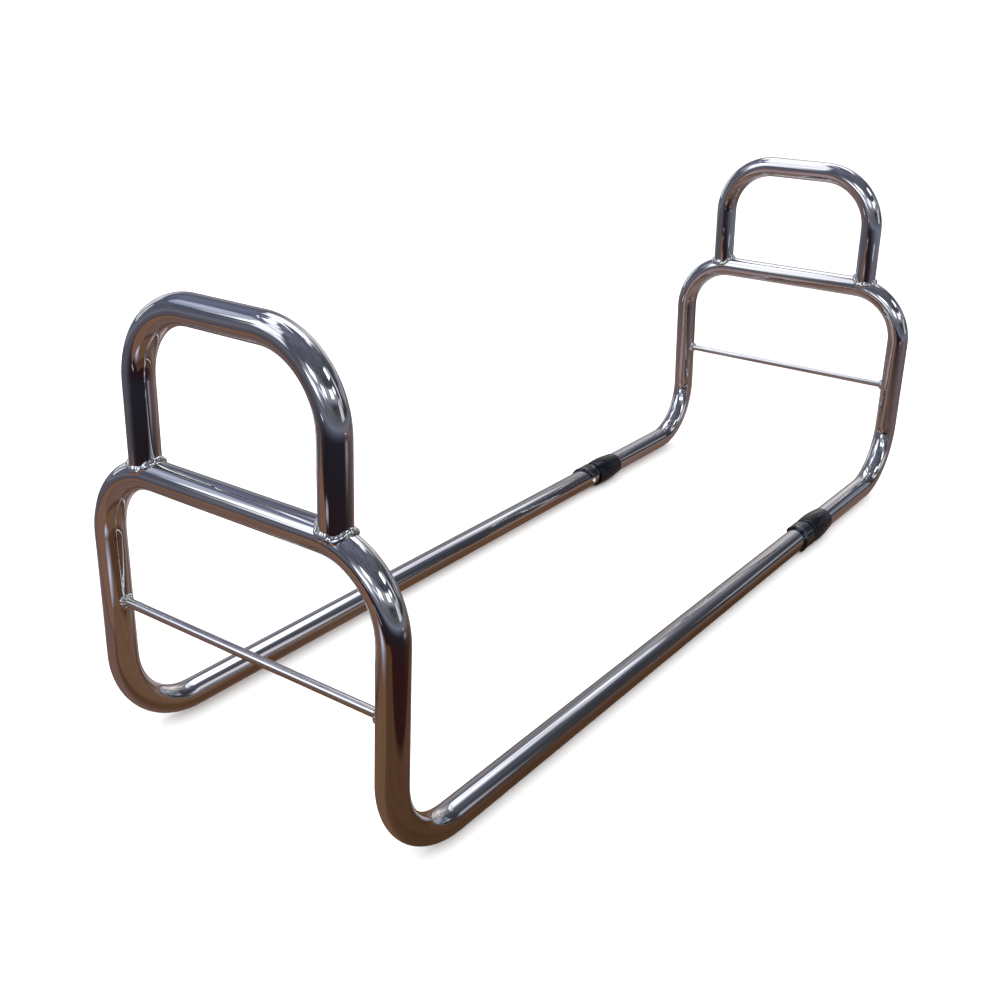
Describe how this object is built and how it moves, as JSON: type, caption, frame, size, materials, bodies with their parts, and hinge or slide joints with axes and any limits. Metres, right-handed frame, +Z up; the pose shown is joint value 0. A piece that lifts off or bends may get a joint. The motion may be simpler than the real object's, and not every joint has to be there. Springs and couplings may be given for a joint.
{
  "type": "double-sided bed grab safety frame",
  "caption": "Double-sided bed grab frame: two chromed tubular-steel end hoops with grip loops, joined by telescoping base rails locked by black clip pins.",
  "frame": {"origin": "centre of the footprint, on the plane the ferrules' undersides touch", "axes": "+X along the rails from the long-railed (near) end to the sliding (far) end, +Y to the left rail, +Z up"},
  "size_m": [1.0172, 0.3286, 0.4144],
  "materials": {
    "near_frame_tube": "bright chrome plate",
    "near_grip_loop": "bright chrome plate",
    "near_cross_rod": "bright chrome plate",
    "near_grip_weld_left": "chromed weld bead, slightly rough",
    "near_grip_weld_right": "chromed weld bead, slightly rough",
    "near_rod_weld_left": "chromed weld bead, slightly rough",
    "near_rod_weld_right": "chromed weld bead, slightly rough",
    "left_rail_ferrule": "satin black moulded plastic",
    "right_rail_ferrule": "satin black moulded plastic",
    "far_frame_tube": "bright chrome plate",
    "far_grip_loop": "bright chrome plate",
    "far_cross_rod": "bright chrome plate",
    "far_grip_weld_left": "chromed weld bead, slightly rough",
    "far_grip_weld_right": "chromed weld bead, slightly rough",
    "far_rod_weld_left": "chromed weld bead, slightly rough",
    "far_rod_weld_right": "chromed weld bead, slightly rough",
    "left_slide_tube": "drawn steel tube, lightly polished",
    "right_slide_tube": "drawn steel tube, lightly polished",
    "left_lock_clip": "glossy black moulded plastic",
    "left_lock_pin": "bright turned steel",
    "right_lock_clip": "glossy black moulded plastic",
    "right_lock_pin": "bright turned steel"
  },
  "bodies": {
    "near_frame": {"near_frame_tube": "near_frame_tube", "near_grip_loop": "near_grip_loop", "near_cross_rod": "near_cross_rod", "near_grip_weld_left": "near_grip_weld_left", "near_grip_weld_right": "near_grip_weld_right", "near_rod_weld_left": "near_rod_weld_left", "near_rod_weld_right": "near_rod_weld_right", "left_rail_ferrule": "left_rail_ferrule", "right_rail_ferrule": "right_rail_ferrule"},
    "far_frame": {"far_frame_tube": "far_frame_tube", "far_grip_loop": "far_grip_loop", "far_cross_rod": "far_cross_rod", "far_grip_weld_left": "far_grip_weld_left", "far_grip_weld_right": "far_grip_weld_right", "far_rod_weld_left": "far_rod_weld_left", "far_rod_weld_right": "far_rod_weld_right", "left_slide_tube": "left_slide_tube", "right_slide_tube": "right_slide_tube"},
    "left_clip": {"left_lock_clip": "left_lock_clip", "left_lock_pin": "left_lock_pin"},
    "right_clip": {"right_lock_clip": "right_lock_clip", "right_lock_pin": "right_lock_pin"}
  },
  "joints": [
    {"name": "width_slide", "type": "slide", "parent": "near_frame", "child": "far_frame", "axis": [1, 0, 0], "range_m": [0, 0.3]},
    {"name": "left_clip_pull", "type": "slide", "parent": "near_frame", "child": "left_clip", "axis": [0, 1, 0], "range_m": [0, 0.032], "deforming": ["left_lock_clip"]},
    {"name": "right_clip_pull", "type": "slide", "parent": "near_frame", "child": "right_clip", "axis": [0, -1, 0], "range_m": [0, 0.032], "deforming": ["right_lock_clip"]}
  ]
}
